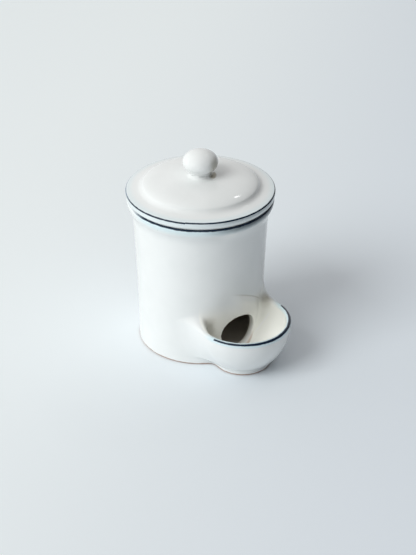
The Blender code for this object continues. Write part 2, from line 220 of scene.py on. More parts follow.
class StageLook(bpy.types.PropertyGroup):
    """The stage, its light and the camera"""

    floor: tint("Floor", "Colour of the floor on its bright side", (0.935, 0.985, 1.0))
    floor_far: tint("Far floor", "Colour of the floor on its dim side", (0.765, 0.82, 0.88))
    # The floor's colour falls from its bright side to its dim side over this width, as painted light.
    floor_falloff_width: length("Floor drift", "Width over which the floor's colour drifts", 0.50)
    floor_azimuth: turn("Floor azimuth", "Where the floor is brightest, round from the front", -142)
    sky: tint("Sky", "Colour of the light from all round", (1.0, 0.99, 0.985))
    sky_bright: FloatProperty(name="Bright sky", description="Strength of the sky on its bright side",
                              default=0.72, min=0)
    sky_dim: FloatProperty(name="Dim sky", description="Strength of the sky on its dim side",
                           default=0.0, min=0)
    dim_azimuth: turn("Dim azimuth", "Where the sky is dimmest, round from the front", 30)
    dim_elevation: turn("Dim elevation", "How high the sky is dimmest", -5)
    key_tint: tint("Key colour", "Colour of the large lamp", (0.95, 0.975, 0.965))
    key_power: FloatProperty(name="Key power", description="Power of the large lamp", default=356.0,
                             min=0, unit="POWER")
    key_size: length("Key size", "Side of the large square lamp", 4.6)
    key_distance: length("Key distance", "From the salt cellar to the large lamp", 8.0)
    key_azimuth: turn("Key azimuth", "Where the large lamp stands, round from the front", -93.5)
    key_elevation: turn("Key elevation", "How high the large lamp stands", 40)
    spark_power: FloatProperty(name="Spark power", description="Power of the small lamp behind",
                               default=0.65, min=0, unit="POWER")
    spark_size: length("Spark size", "Side of the small square lamp", 0.16)
    spark_distance: length("Spark distance", "From the salt cellar to the small lamp", 2.4)
    spark_azimuth: turn("Spark azimuth", "Where the small lamp stands, round from the front", 113)
    spark_elevation: turn("Spark elevation", "How high the small lamp stands", 51)
    camera_azimuth: turn("Camera azimuth", "Where the camera stands, round from the front", -38.0)
    camera_elevation: turn("Camera elevation", "How high the camera stands", 31.13)
    camera_distance: length("Camera distance", "From the camera to the plane that it frames", 1.10)
    camera_right: length("Camera right", "How far the camera stands to the right", 0.005524)
    camera_up: length("Camera up", "How far the camera stands up across its line of sight", 0.040618)
    camera_view: length("View height", "Height of what the camera frames, across its line of sight",
                        0.43124)


class SaltCellar(bpy.types.PropertyGroup):
    """Everything that the salt cellar is made from"""

    jar: PointerProperty(type=JarSizes)
    cup: PointerProperty(type=CupSizes)
    lid: PointerProperty(type=LidSizes)
    glaze: PointerProperty(type=GlazeLook)
    stage: PointerProperty(type=StageLook)
    body_step: length("Body step", "Size of the cells that mesh the jar and cup", 0.0010)
    lid_steps: IntProperty(name="Lid steps", description="Facets round the lid", default=160, min=24)


# Shapes as distance fields: arrays of distances to a surface, below zero inside the clay

def smooth_join(first, second, reach):
    """Join two fields with a soft fillet that runs a reach out from their corner."""
    overlap = np.maximum(reach - np.abs(first - second), 0)
    return np.minimum(first, second) - overlap * overlap / (4 * reach)


def smooth_meet(first, second, reach):
    """Keep what two fields share, with the edge between them rounded."""
    return -smooth_join(-first, -second, reach)


def round_meet(first, second, radius):
    """Keep what two fields share, with a circular edge between them."""
    beyond = np.hypot(np.maximum(first + radius, 0), np.maximum(second + radius, 0))
    return np.minimum(np.maximum(first, second), -radius) + beyond


def oval_distance(across, along, half_across, half_along):
    """Distance to an oval about the origin, close to true near its edge."""
    least = 1e-9
    scaled = np.hypot(across / half_across, along / half_along) + least
    slope = np.hypot(across / half_across ** 2, along / half_along ** 2) + least / half_along
    return (scaled - 1) * scaled / slope


def ramp(values, low, high):
    """Rise smoothly from 0 at low to 1 at high."""
    part = np.clip((values - low) / (high - low), 0, 1)
    return part * part * (3 - 2 * part)


def jar_fields(jar, x, y, z):
    """The jar's outside as a solid, and the hollow inside it."""
    wall_top = jar.height - jar.band_height
    rise = np.clip(z / wall_top, 0, 1)
    wall_radius = jar.foot_radius + (jar.neck_radius - jar.foot_radius) * rise * rise
    from_axis = np.hypot(x, y)
    band_run = jar.band_radius - jar.neck_radius
    band_drop = jar.band_height * (1 - jar.band_face)
    slant = math.hypot(band_run, band_drop)
    under = ((from_axis - jar.band_radius) * band_drop
             - (z - jar.height + jar.band_height * jar.band_face) * band_run) / slant
    band = smooth_meet(from_axis - jar.band_radius, under, jar.band_round)
    outside = smooth_join(from_axis - wall_radius, band, jar.band_flow)
    outside = smooth_meet(outside, z - jar.height, jar.lip_round)
    hollow = smooth_meet(from_axis - wall_radius + jar.wall, jar.floor - z, jar.floor_round)
    return outside, hollow


def cup_fields(cup, jar_outside, x, y, z):
    """The bowl of the cup, and how far each point lies out from the middle of its wall."""
    from_axis = np.hypot(x, y + cup.axis)
    belly = cup.height - cup.belly_drop
    below = np.minimum(z - belly, 0)
    foot_share = cup.foot_radius / cup.radius
    depth = (belly - cup.foot_height) / math.sqrt(1 - foot_share * foot_share)
    bowl = oval_distance(from_axis, below, cup.radius, depth)
    foot = np.maximum(from_axis - cup.foot_radius, z - cup.foot_height)
    outside = smooth_join(bowl, foot, cup.foot_flow)
    outside = round_meet(outside, z - cup.height, cup.lip_round)
    hollow = oval_distance(from_axis, below, cup.radius - cup.wall, belly - cup.floor)
    ear = np.clip(1 - jar_outside / cup.ear_length, 0, 1)
    hollow = hollow + cup.ear_thickness * ear * ear * ramp(z, cup.height * cup.lute_rise, cup.height)
    return round_meet(outside, -hollow, cup.lip_round), bowl + cup.wall / 2


def luting_ledge(jar, cup, x, y, z):
    """How far the luting stands out from the wall below the arc where a finger ended it."""
    left_from, left_to = -0.25, 0.05
    right_from, right_to = 0.30, 0.60
    angle = np.arctan2(x, -y)
    out = np.hypot(angle * jar.foot_radius + cup.ledge_left, z + cup.ledge_sunk)
    below = cup.ledge_radius - out
    swell = np.clip(below / cup.ledge_run, 0, 1)
    depth = cup.ledge_depth * swell * (2 - swell) * (1 - ramp(below, cup.ledge_run, 4 * cup.ledge_run))
    return depth * ramp(angle, left_from, left_to) * (1 - ramp(angle, right_from, right_to))


def body_field(jar, cup, x, y, z):
    """The jar with its cup luted on, the feed hole and the flat foot."""
    outside, hollow = jar_fields(jar, x, y, z)
    bowl, outward = cup_fields(cup, outside, x, y, z)
    outside = outside - luting_ledge(jar, cup, x, y, z)
    beside = ramp(outward, -2 * cup.wall, -cup.wall / 2)
    reach = cup.lute_inside + (cup.lute_outside - cup.lute_inside) * beside
    whole = np.clip(z / (cup.height * cup.lute_rise), 0, 1)
    reach = reach * (cup.lute_foot + (1 - cup.lute_foot) * whole)
    left = 1 - ramp(x, -cup.hole_half_width, cup.hole_half_width)
    above = ramp(z, cup.height, cup.height * 1.2)
    reach = reach * (1 - cup.ear_drop * left * above)
    clay = smooth_join(outside, bowl, reach)
    clay = smooth_meet(clay, -hollow, jar.mouth_round)
    hole = oval_distance(x, z - cup.hole_height, cup.hole_half_width, cup.hole_half_height)
    hole = np.maximum(hole, np.maximum(y + jar.foot_radius / 2, -y - cup.axis))
    clay = smooth_meet(clay, -hole, cup.hole_round)
    return smooth_meet(clay, -z, jar.foot_round)


# How the points of a skin settle on its surface
SLOPE_PARTS = 50
LEAST_SLOPE_SQUARED = 0.1
FIRST_ROUNDS = 4
TIMES_EVENED = 3
LATER_ROUNDS = 2


def cells_crossed(inside):
    """The cells of a grid whose corners lie on both sides of the surface."""
    count = np.zeros(np.array(inside.shape) - 1, dtype=int)
    for corner in np.ndindex(2, 2, 2):
        part = tuple(slice(at, at + size) for at, size in zip(corner, count.shape))
        count += inside[part]
    return (count > 0) & (count < 8)


def faces_between(inside, index):
    """A face across each grid edge that the surface cuts, through the four cells round it."""
    faces = []
    for axis in range(3):
        first, second = (axis + 1) % 3, (axis + 2) % 3
        before = np.take(inside, range(inside.shape[axis] - 1), axis)
        after = np.take(inside, range(1, inside.shape[axis]), axis)
        edges = np.argwhere(before != after)
        step_first, step_second = np.eye(3, dtype=int)[[first, second]]
        ring = [edges, edges - step_first, edges - step_first - step_second, edges - step_second]
        face = np.stack([index[tuple(cells.T)] for cells in ring], axis=1)
        leaves = before[tuple(edges.T)]
        faces.append(np.where(leaves[:, None], face, face[:, ::-1]))
    return np.concatenate(faces)


def slope_of(field, points, nudge):
    """A field's value at each point, and its slope there."""
    slope = np.empty_like(points)
    for axis in range(3):
        step = np.eye(3)[axis] * nudge
        slope[:, axis] = (field(*(points + step).T) - field(*(points - step).T)) / (2 * nudge)
    return field(*points.T), slope


def onto_surface(field, points, step, rounds):
    """Move points along the field's slope until they lie on its surface."""
    for _ in range(rounds):
        value, slope = slope_of(field, points, step / SLOPE_PARTS)
        steepness = np.maximum((slope * slope).sum(axis=1), LEAST_SLOPE_SQUARED)
        move = (value / steepness)[:, None] * slope
        far = np.maximum(np.linalg.norm(move, axis=1, keepdims=True) / step, 1)
        points = points - move / far
    return points


def evened(points, faces):
    """Move each point to the middle of its neighbours."""
    total = np.zeros_like(points)
    count = np.zeros(len(points))
    for start, end in ((0, 1), (1, 2), (2, 3), (3, 0)):
        for here, there in ((faces[:, start], faces[:, end]), (faces[:, end], faces[:, start])):
            np.add.at(total, here, points[there])
            np.add.at(count, here, 1)
    return total / count[:, None]


def skin_of(name, field, low, high, step):
    """Mesh the surface of a field inside a box, with its true normals."""
    grid = [np.arange(start, end + step, step) for start, end in zip(low, high)]
    inside = field(*np.meshgrid(*grid, indexing="ij")) < 0
    crossed = cells_crossed(inside)
    index = np.full(crossed.shape, -1)
    index[crossed] = np.arange(crossed.sum())
    faces = faces_between(inside, index)
    points = np.array(low) + (np.argwhere(crossed) + 0.5) * step
    points = onto_surface(field, points, step, FIRST_ROUNDS)
    for _ in range(TIMES_EVENED):
        points = onto_surface(field, evened(points, faces), step, LATER_ROUNDS)
    normals = slope_of(field, points, step / SLOPE_PARTS)[1]
    normals /= np.linalg.norm(normals, axis=1, keepdims=True)
    mesh = bpy.data.meshes.new(name)
    mesh.from_pydata(points.tolist(), [], faces.tolist())
    mesh.shade_smooth()
    mesh.normals_split_custom_set_from_vertices(normals.tolist())
    return mesh


def body_skin(settings):
    """The mesh of the jar and cup as one clay body."""
    jar, cup = settings.jar, settings.cup
    margin = 3 * settings.body_step
    low = (-jar.band_radius - margin, -cup.axis - cup.radius - margin, -1.5 * settings.body_step)
    high = (jar.band_radius + margin, jar.band_radius + margin, jar.height + margin)

    def field(x, y, z):
        return body_field(jar, cup, x, y, z)

    return skin_of("jar_and_cup", field, low, high, settings.body_step)


# Turned outlines: points of (radius, height)

CORNER_STEP = math.radians(10)
RUN_STEP = 0.0015
BALL_STEPS = 30
DOME_POINTS = 26
# Points at the dome's foot that the cove's rounding replaces
COVE_POINTS = 5
MERGE_DISTANCE = 0.00001


def arc_through(before, corner, after, reach):
    """A round arc that leaves one side of a corner at a reach from it and joins the other."""
    back = (before - corner).normalized()
    ahead = (after - corner).normalized()
    swing = math.pi - back.angle(ahead)
    centre = corner + (back + ahead).normalized() * reach / math.sin(swing / 2)
    side = 1 if back.x * ahead.y < back.y * ahead.x else -1
    steps = max(3, math.ceil(swing / CORNER_STEP))
    spoke = corner + back * reach - centre
    return [centre + Matrix.Rotation(side * swing * step / steps, 2) @ spoke
            for step in range(steps + 1)]


def rounded(corners):
    """Give an outline of (radius, height, rounding) corners its arcs; neighbours share a side."""
    places = [Vector(corner[:2]) for corner in corners]
    sides = [after - before for before, after in zip(places, places[1:])]
    wanted = [0]
    for corner, before, after in zip(corners[1:], sides, sides[1:]):
        wanted.append(corner[2] * math.tan(before.angle(after) / 2))
    wanted.append(0)
    fits = [min(1, side.length / max(first + second, side.length))
            for side, first, second in zip(sides, wanted, wanted[1:])]
    points = [places[0]]
    for at in range(1, len(places) - 1):
        reach = wanted[at] * min(fits[at - 1], fits[at])
        if reach:
            points += arc_through(places[at - 1], places[at], places[at + 1], reach)
        else:
            points.append(places[at])
    return points + [places[-1]]


def oval_arc(height, half_width, half_height, end, steps):
    """Points down an oval about the axis, from its top to an angle."""
    turns = [end * step / steps for step in range(steps + 1)]
    return [Vector((half_width * math.sin(angle), height + half_height * math.cos(angle)))
            for angle in turns]


def dome_height(lid, radius):
    """Height of the dome's outside at a radius."""
    rise = 1 - (radius / lid.dome_radius) ** lid.dome_fullness
    return lid.dome_base + (lid.dome_top - lid.dome_base) * rise ** (1 / lid.dome_fullness)


def filled(points):
    """Put more points along each long straight run of an outline."""
    result = [points[0]]
    for before, after in zip(points, points[1:]):
        steps = max(1, round((after - before).length / RUN_STEP))
        result += [before.lerp(after, step / steps) for step in range(1, steps + 1)]
    return result


def dome_arc(lid, start):
    """Points down the dome's outside, closer together towards its foot."""
    first_turn = math.asin((start / lid.dome_radius) ** (lid.dome_fullness / 2))
    turns = np.linspace(first_turn, math.pi / 2, DOME_POINTS)
    radii = lid.dome_radius * np.sin(turns) ** (2 / lid.dome_fullness)
    return [(radius, dome_height(lid, min(radius, lid.dome_radius)), 0) for radius in radii]


def lid_outline(lid):
    """Section of the lid and knob, from the top of the ball to the ceiling under the dome."""
    ball_middle = lid.dome_top + lid.knob_middle
    ball = oval_arc(ball_middle, lid.knob_radius, lid.knob_half_height, lid.ball_end, BALL_STEPS)
    steepness = lid.knob_half_height / lid.knob_radius * math.tan(lid.ball_end)
    neck_top = ball[-1].y + (ball[-1].x - lid.neck_radius) * steepness
    dome = dome_arc(lid, lid.neck_radius + lid.neck_flow)
    collar_inside = lid.collar_radius - lid.collar_wall
    ceiling = lid.dome_top - lid.wall
    corners = [
        (ball[-1].x, ball[-1].y, 0),
        (lid.neck_radius, neck_top, lid.neck_round),
        (lid.neck_radius, dome_height(lid, lid.neck_radius), lid.neck_flow),
        *dome[:-COVE_POINTS],
        (lid.dome_radius, lid.dome_base, lid.cove),
        (lid.radius, lid.edge, lid.edge_round),
        (lid.radius - lid.edge_round / 5, lid.edge * 0.3, lid.edge_round),
        (lid.radius - lid.edge_lean, 0, lid.edge_round),
        (lid.collar_radius, 0, lid.collar_round / 3),
        (lid.collar_radius, -lid.collar_depth, lid.collar_round),
        (collar_inside, -lid.collar_depth, lid.collar_round),
        (collar_inside, ceiling - lid.ceiling_drop, lid.ceiling_round),
        (0, ceiling, 0),
    ]
    outline = filled(ball[:-1] + rounded(corners))
    return [Vector((point.x, point.y + lid.seat)) for point in outline]


def lid_skin(settings):
    """The mesh of the lid and knob as one turned clay body."""
    outline = lid_outline(settings.lid)
    mesh = bpy.data.meshes.new("lid_section")
    edges = [(at, at + 1) for at in range(len(outline) - 1)]
    mesh.from_pydata([(point.x, 0, point.y) for point in outline], edges, [])
    blank = bpy.data.objects.new("lid_blank", mesh)
    bpy.context.scene.collection.objects.link(blank)
    screw = blank.modifiers.new("turn", "SCREW")
    screw.steps = settings.lid_steps
    screw.render_steps = settings.lid_steps
    screw.use_merge_vertices = True
    screw.merge_threshold = MERGE_DISTANCE
    bpy.context.view_layer.update()
    depsgraph = bpy.context.evaluated_depsgraph_get()
    turned = bpy.data.meshes.new_from_object(blank.evaluated_get(depsgraph))
    turned.name = "lid_and_knob"
    turned.shade_smooth()
    bpy.data.objects.remove(blank)
    bpy.data.meshes.remove(mesh)
    return turned


# Materials

# Scales of the noises that make brush and glaze uneven; a larger one is finer
WAVER_SCALE = 45
BRISTLE_SCALE = 240
CLOUD_SCALE = 38
GRAIN_SCALE = 420
RIPPLE_SCALE = 60
RING_SCALE = 120
POOL_SCALE = 210
FOOT_SCALE = 160
# Values of a noise between which it passes from its low patches to its high ones
NOISE_LOW = 0.3
NOISE_HIGH = 0.7

WHITE = (1, 1, 1, 1)
DEEP_GLAZE = (0.55, 0.60, 0.58, 1)
GLAZE_IOR = 1.52
BUMP_STRENGTH = 0.5
BUMP_DEPTH = 0.0002


class Signal:
    """A value that flows through a shader tree; each sum with it adds a Math node."""

    def __init__(self, socket):
        self.socket = socket

    def __add__(self, other):
        return reckon("ADD", self, other)

    def __sub__(self, other):
        return reckon("SUBTRACT", self, other)

    def __rsub__(self, other):
        return reckon("SUBTRACT", other, self)

    def __mul__(self, other):
        return reckon("MULTIPLY", self, other)

    def __truediv__(self, other):
        return reckon("DIVIDE", self, other)

    def __abs__(self):
        return reckon("ABSOLUTE", self)


def add_node(tree, kind, inputs=None, **options):
    """Add a node, set its options and fill its inputs with plain values or signals."""
    node = tree.nodes.new(kind)
    for key, value in options.items():
        setattr(node, key, value)
    for key, value in (inputs or {}).items():
        if isinstance(value, Signal):
            tree.links.new(value.socket, node.inputs[key])
        else:
            node.inputs[key].default_value = value
    return node


def made_from(kind, inputs, output, **options):
    """One output of a new node, in the tree that its signals flow through."""
    tree = next(value.socket.id_data for value in inputs.values() if isinstance(value, Signal))
    return Signal(add_node(tree, kind, inputs, **options).outputs[output])


def send(signal, target):
    """Let a signal flow into an input."""
    target.id_data.links.new(signal.socket, target)


def reckon(operation, *values, clamp=False):
    """The result of a Math node."""
    return made_from("ShaderNodeMath", dict(enumerate(values)), 0, operation=operation,
                     use_clamp=clamp)


def hypotenuse(across, along):
    """Distance to a place that lies this far across and this far along."""
    return reckon("SQRT", across * across + along * along)


def compared(operation, place, other):
    """The number that a Vector Math node makes of a place and another vector."""
    return made_from("ShaderNodeVectorMath", {0: place, 1: other}, "Value", operation=operation)


def fade(value, low, high, start, end):
    """Carry a value over from one range to another with soft ends."""
    ranges = {"Value": value, "From Min": low, "From Max": high, "To Min": start, "To Max": end}
    return made_from("ShaderNodeMapRange", ranges, "Result", interpolation_type="SMOOTHSTEP")


def rising(value, low, high):
    """Rise softly from 0 to 1 between two values."""
    return fade(value, low, high, 0, 1)


def falling(value, low, high):
    """Fall softly from 1 to 0 between two values."""
    return fade(value, low, high, 1, 0)


def mixed(factor, first, second):
    """The colour between two colours."""
    return made_from("ShaderNodeMix", {0: factor, 6: first, 7: second}, 2, data_type="RGBA")


def noise_at(place, scale, detail):
    """The value of a noise at a place, from 0 to 1."""
    return made_from("ShaderNodeTexNoise", {"Vector": place, "Scale": scale, "Detail": detail}, 0)


def new_group(name, inputs, outputs):
    """Start a shader node group; returns it, its named signals and its named results."""
    group = bpy.data.node_groups.new(name, "ShaderNodeTree")
    for label, kind, default in inputs:
        item = group.interface.new_socket(label, in_out="INPUT", socket_type="NodeSocket" + kind)
        item.default_value = default
    for label, kind in outputs:
        group.interface.new_socket(label, in_out="OUTPUT", socket_type="NodeSocket" + kind)
    entry = group.nodes.new("NodeGroupInput")
    given = {socket.name: Signal(socket) for socket in entry.outputs}
    return group, given, group.nodes.new("NodeGroupOutput").inputs


def object_place(tree):
    """The place on the object that is being shaded."""
    return Signal(add_node(tree, "ShaderNodeTexCoord").outputs["Object"])


def split(place):
    """The three coordinates of a place."""
    node = add_node(place.socket.id_data, "ShaderNodeSeparateXYZ", {0: place})
    return [Signal(socket) for socket in node.outputs]


def around(across, ahead):
    """Distance from an upright axis, and the angle round it from the front."""
    return hypotenuse(across, ahead), reckon("ARCTAN2", across, ahead * -1)


def along_line(given, angle, start_run, end_run):
    """How far a line is there at an angle: 1 between its start and end, then fading over a run."""
    begins = rising(angle, given["Start"] - start_run, given["Start"])
    ends = falling(angle, given["End"], given["End"] + end_run)
    return begins * ends


def brushed_line_group():
    """A line brushed round an axis while the pot turns, fullest on one side."""
    group, given, result = new_group(
        "brushed_line",
        [("Axis Y", "Float", 0), ("Radius", "Float", 0.05), ("Inward", "Float", 0),
         ("Height", "Float", 0.1), ("Width", "Float", 0.001), ("Thin", "Float", 0.5),
         ("Full Side", "Float", 0), ("Seam", "Float", 0), ("Drift", "Float", 0),
         ("Start", "Float", -3), ("Start Run", "Float", 0.02), ("End", "Float", 3),
         ("End Run", "Float", 0.02), ("Dry", "Float", 0), ("Bleed", "Float", 0.002),
         ("Smear", "Float", 0.003)],
        [("Line", "Float"), ("Wet", "Float"), ("Bleed", "Float"), ("Smear", "Float")])
    thinnest_toward, fullest_toward = -0.9, 0.5
    sag_begins_toward, sag_whole_toward = 0.35, 0.95
    thin_bristle, thick_bristle = 0.88, 1.08
    waver_share, edge_share = 0.35, 0.1
    bleed_run = 0.35

    place = object_place(group)
    x, y, z = split(place)
    across, angle = around(x, y - given["Axis Y"])
    side = reckon("COSINE", angle - given["Full Side"])
    load = rising(side, thinnest_toward, fullest_toward)
    heavy = rising(side, sag_begins_toward, sag_whole_toward)

    turned = reckon("WRAP", (angle - given["Seam"]) / math.tau, 1, 0)
    drift = (0.5 - turned) * given["Drift"]
    waver = (noise_at(place, WAVER_SCALE, 1) - 0.5) * given["Width"]
    height = given["Height"] + (waver * waver_share + drift)
    radius = given["Radius"] - heavy * given["Inward"]
    rise = z - height
    distance = hypotenuse(across - radius, rise)

    bristles = fade(noise_at(place, BRISTLE_SCALE, 2), NOISE_LOW, NOISE_HIGH,
                    thin_bristle, thick_bristle)
    half = given["Width"] * 0.5 * (fade(load, 0, 1, given["Thin"], 1) * bristles)
    edge = given["Width"] * edge_share
    line = falling(distance, half - edge, half + edge)
    wet = along_line(given, angle, given["Start Run"], given["End Run"])
    send(wet, result["Wet"])
    send(line * reckon("MAXIMUM", wet, given["Dry"]), result["Line"])

    tinted = reckon("MAXIMUM", along_line(given, angle, bleed_run, bleed_run), given["Dry"])
    send(falling(distance, half, half + given["Bleed"]) * tinted, result["Bleed"])
    # Below the line on its fullest side: a dark smudge, partly painted shade.
    far = falling(distance, half, half + given["Smear"])
    below = falling(rise, half * -1, 0)
    send(far * below * heavy, result["Smear"])
    return group


def fired_glaze_group():
    """The slight unevenness of a glaze that was poured, fired and ran a little."""
    group, given, result = new_group(
        "fired_glaze",
        [("Glaze", "Color", (0.8, 0.8, 0.8, 1)), ("Roughness", "Float", 0.1)],
        [("Color", "Color"), ("Roughness", "Float"), ("Height", "Float")])
    pale_share, deep_share = 0.06, 0.07
    grain_roughness = 0.03
    ring_stretch = 0.08
    ring_height, ripple_height, grain_height = 0.5, 0.4, 0.012

    place = object_place(group)
    cloud = rising(noise_at(place, CLOUD_SCALE, 3), NOISE_LOW, NOISE_HIGH)
    pale = mixed(pale_share, given["Glaze"], WHITE)
    deep = mixed(deep_share, given["Glaze"], DEEP_GLAZE)
    send(mixed(cloud, deep, pale), result["Color"])

    grain = noise_at(place, GRAIN_SCALE, 2)
    send(grain * grain_roughness + given["Roughness"], result["Roughness"])

    x, y, z = split(place)
    stretched = made_from("ShaderNodeCombineXYZ",
                          {"X": x * ring_stretch, "Y": y * ring_stretch, "Z": z}, 0)
    rings = noise_at(stretched, RING_SCALE, 1) * ring_height
    ripple = noise_at(place, RIPPLE_SCALE, 2) * ripple_height
    send(grain * grain_height + (rings + ripple), result["Height"])
    return group


def glaze_material(name, groups, look):
    """Start a glossy glaze; returns it with its tree, shader and the glaze group's node."""
    material = bpy.data.materials.new(name)
    material.use_nodes = True
    tree = material.node_tree
    shader = tree.nodes["Principled BSDF"]
    shader.inputs["Metallic"].default_value = 0
    shader.inputs["IOR"].default_value = GLAZE_IOR
    glaze = add_node(tree, "ShaderNodeGroup", node_tree=groups["fired_glaze"])
    glaze.inputs["Roughness"].default_value = look.roughness
    bump = made_from("ShaderNodeBump", {"Height": Signal(glaze.outputs["Height"]),
                                        "Strength": BUMP_STRENGTH, "Distance": BUMP_DEPTH}, 0)
    send(bump, shader.inputs["Normal"])
    return material, tree, shader, glaze


def colour(value):
    """A colour with full alpha."""
    return (*value, 1)


def brush(groups, look, base, bleed, smear_and_shade, **sizes):
    """Lay one brushed line over a colour, with its pale bleed, and below it a dark smudge that is
    partly painted shade.
    """
    node = add_node(base.socket.id_data, "ShaderNodeGroup", node_tree=groups["brushed_line"])
    for label, value in sizes.items():
        node.inputs[label.replace("_", " ")].default_value = value
    laid = {socket.name: Signal(socket) for socket in node.outputs}
    base = mixed(laid["Bleed"] * bleed, base, colour(look.bleed))
    base = mixed(laid["Smear"] * smear_and_shade, base, colour(look.smear_and_shade))
    line = mixed(laid["Wet"], colour(look.thin_line), colour(look.line))
    return mixed(laid["Line"], base, line)


def rim_line_and_gap_shade(groups, settings, base):
    """The heavy line round the jar's lip, also painted shade in the gap under the lid, with a dark
    smudge and painted shade below it on its fullest side.
    """
    jar, look = settings.jar, settings.glaze
    return brush(groups, look, base, bleed=0.75, smear_and_shade=0.9,
                 Radius=jar.band_radius - jar.lip_round * 0.45, Height=jar.height,
                 Width=look.rim_line_and_gap_shade, Thin=0.8, Full_Side=math.radians(30),
                 Seam=math.radians(140), Drift=look.line_drift,
                 Start=math.radians(-84), Start_Run=math.radians(26),
                 End=math.radians(30), End_Run=math.radians(40),
                 Dry=0.1, Bleed=0.0058, Smear=0.0055)


def cup_line(groups, settings, base):
    """The line along the cup's lip, which stops short of the jar on both sides."""
    cup, look = settings.cup, settings.glaze
    return brush(groups, look, base, bleed=0.8, smear_and_shade=0,
                 Axis_Y=-cup.axis, Radius=cup.radius - cup.lip_round * 0.25, Inward=cup.wall * 0.25,
                 Height=cup.height - cup.lip_round * 0.3,
                 Width=look.cup_line, Thin=0.65, Full_Side=math.radians(65),
                 Start=math.radians(-75.4), End=math.radians(83), Bleed=0.0030)


def lid_line(groups, settings, base):
    """The fine line round the flange's upper edge, paler towards the back."""
    lid, look = settings.lid, settings.glaze
    # Its dark smudge lays painted shade on the flange's edge below the line, on its fullest side.
    return brush(groups, look, base, bleed=0.4, smear_and_shade=0.4,
                 Radius=lid.radius - lid.edge_round * 0.35,
                 Height=lid.seat + lid.edge - lid.edge_round * 0.3,
                 Width=look.lid_line, Thin=0.95, Full_Side=math.radians(30),
                 Seam=math.radians(-49), Drift=look.line_drift,
                 Start=math.radians(-102), Start_Run=math.radians(22),
                 End=math.radians(62), End_Run=math.radians(35),
                 Dry=0.85, Bleed=0.0060, Smear=0.0030)


def ledge_marks(jar, cup, z, from_jar, angle):
    """Where painted light lies on the wall below the arc in which the luting ends, and painted shade
    along that arc.
    """
    left_from, left_to = -0.20, 0.12
    right_from, right_to = 0.42, 0.55
    crease_half, crease_end = 0.0002, 0.0008

    out = hypotenuse(angle * jar.foot_radius + cup.ledge_left, z + cup.ledge_sunk)
    beyond = out - cup.ledge_radius
    outside = rising(from_jar, jar.foot_radius - jar.wall / 2, jar.foot_radius - jar.wall / 4)
    front = rising(angle, left_from, left_to) * outside
    below = falling(beyond, -crease_half * 2, crease_half * 1.5) * front
    crease_shade = falling(abs(beyond), crease_half, crease_end)
    return below, crease_shade * falling(angle, right_from, right_to) * front


def bowl_glaze_and_light(cup, z, from_cup, lit_under_ledge):
    """Where the bowl's warmer glaze lies: inside it, and, as painted light, up the jar as far as the
    ledge.
    """
    whole, ends = 0.92, 1.02
    height_above_share = 1.45

    across = from_cup / (cup.radius - cup.wall / 2)
    down = reckon("MINIMUM", z - cup.height, 0) / (cup.height - cup.floor / 2)
    above = falling(z, cup.height, cup.height * height_above_share)
    above = reckon("MAXIMUM", above, lit_under_ledge)
    return falling(across * across + down * down, whole, ends) * above


def corner_pools_and_shade(settings, place, from_cup):
    """Where glaze pooled in the two corners between the cup's ears and the jar, deepened with painted
    shade, more in the right one.
    """
    # Painted shade: the pools are darkened beyond their olive, more in the right corner.
    left_strength, more_at_right = 0.38, 0.34
    higher_at_right_share = 0.25

    look, cup = settings.glaze, settings.cup
    x, y, z = split(place)
    distance = hypotenuse(abs(x - look.pool_shift) - look.pool_across, y + look.pool_ahead)
    uneven = noise_at(place, POOL_SCALE, 3) * (look.pool_size / 2) + distance
    near = falling(uneven, look.pool_size / 3, look.pool_size * 1.2)
    right = rising(x, -look.pool_across / 2, look.pool_across / 2)
    strength = right * more_at_right + left_strength
    inside = falling(from_cup, cup.radius - cup.wall * 1.4, cup.radius - cup.wall / 2)
    rise = right * (-cup.height * higher_at_right_share) + z
    low = rising(rise, cup.height * 0.5, cup.height * 0.85)
    high = falling(z, cup.height * 1.04, cup.height * 1.18)
    return near * strength * inside * (low * high)


def painted_highlight_streak(settings, z, angle, in_bowl):
    """A painted highlight: a pale streak down the right inside of the bowl."""
    strength = 0.7

    look, cup = settings.glaze, settings.cup
    away = abs(angle - (z * -look.streak_lean + look.streak_angle))
    width = look.streak_width / cup.radius
    line = fade(away, width / 2, width * 2, strength, 0)
    low = rising(z, cup.height / 3, cup.height * 0.45)
    high = falling(z, cup.height * 0.7, cup.height * 0.82)
    return line * in_bowl * (low * high)


def cobalt_speck(settings, place):
    """Where one drop of cobalt fell on the jar's band."""
    strength = 0.8

    look, jar = settings.glaze, settings.jar
    spot = facing(look.speck_angle, 0) * jar.band_radius
    spot.z = look.speck_height
    away = compared("DISTANCE", place, spot)
    return fade(away, look.speck_size / 4, look.speck_size, strength, 0)


def hole_edge(cup, place, from_jar, wall_radius):
    """Where the clay shows through the glaze along the feed hole's lower edge."""
    strength = 0.6
    lower_whole, lower_ends = -0.75, -0.35

    x, y, z = split(place)
    across = x / (cup.hole_half_width + cup.hole_round)
    rise = (z - cup.hole_height) / (cup.hole_half_height + cup.hole_round)
    width = cup.hole_round / cup.hole_half_width
    line = falling(abs(hypotenuse(across, rise) - 1), width * 0.3, width)
    lower = falling(rise, lower_whole, lower_ends) * reckon("LESS_THAN", y, 0)
    out = from_jar - wall_radius
    outer = rising(out, -cup.hole_round, 0)
    near = falling(out, cup.hole_round * 2, cup.hole_round * 3)
    return line * lower * (outer * near) * strength


def bare_clay(settings, place, z, from_jar):
    """Where no glaze covers the clay: round the foot, and along the feed hole's lower edge."""
    wiped_height, glazed_height, raggedness = 0.0003, 0.0008, 0.0012

    height = noise_at(place, FOOT_SCALE, 3) * -raggedness + z
    foot = falling(height, wiped_height, glazed_height)
    hole = hole_edge(settings.cup, place, from_jar, settings.jar.foot_radius)
    return reckon("MAXIMUM", foot, hole)


